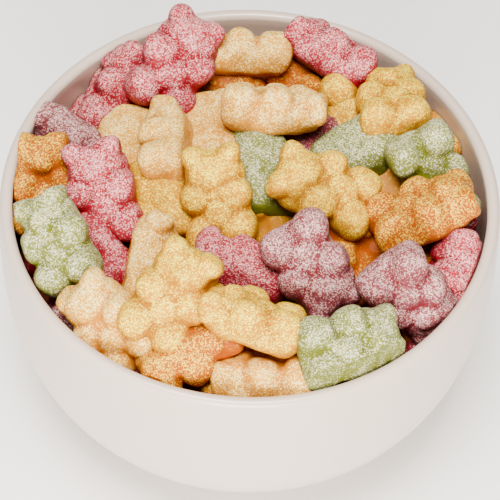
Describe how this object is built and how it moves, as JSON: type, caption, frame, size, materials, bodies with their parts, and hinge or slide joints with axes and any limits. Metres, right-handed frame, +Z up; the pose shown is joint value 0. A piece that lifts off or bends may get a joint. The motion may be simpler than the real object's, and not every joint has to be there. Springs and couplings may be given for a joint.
{
  "type": "bowl of gummy bears",
  "caption": "Round off-white stoneware bowl heaped with sugar-coated fruit gummy bears in mixed colours.",
  "frame": {"origin": "middle of the bowl's foot, on the surface it stands on", "axes": "+Z up along the bowl's axis of turning, -Y towards the side that is seen from the front"},
  "size_m": [0.122, 0.122, 0.0853],
  "materials": {
    "stoneware_glaze": "smooth off-white glaze with a soft gloss",
    "sugared_gummy": "soft translucent fruit gum under a coat of fine sugar crystals"
  },
  "bodies": {
    "root": {"bowl": "stoneware_glaze", "gummy_bear_heap": "sugared_gummy"}
  },
  "joints": []
}
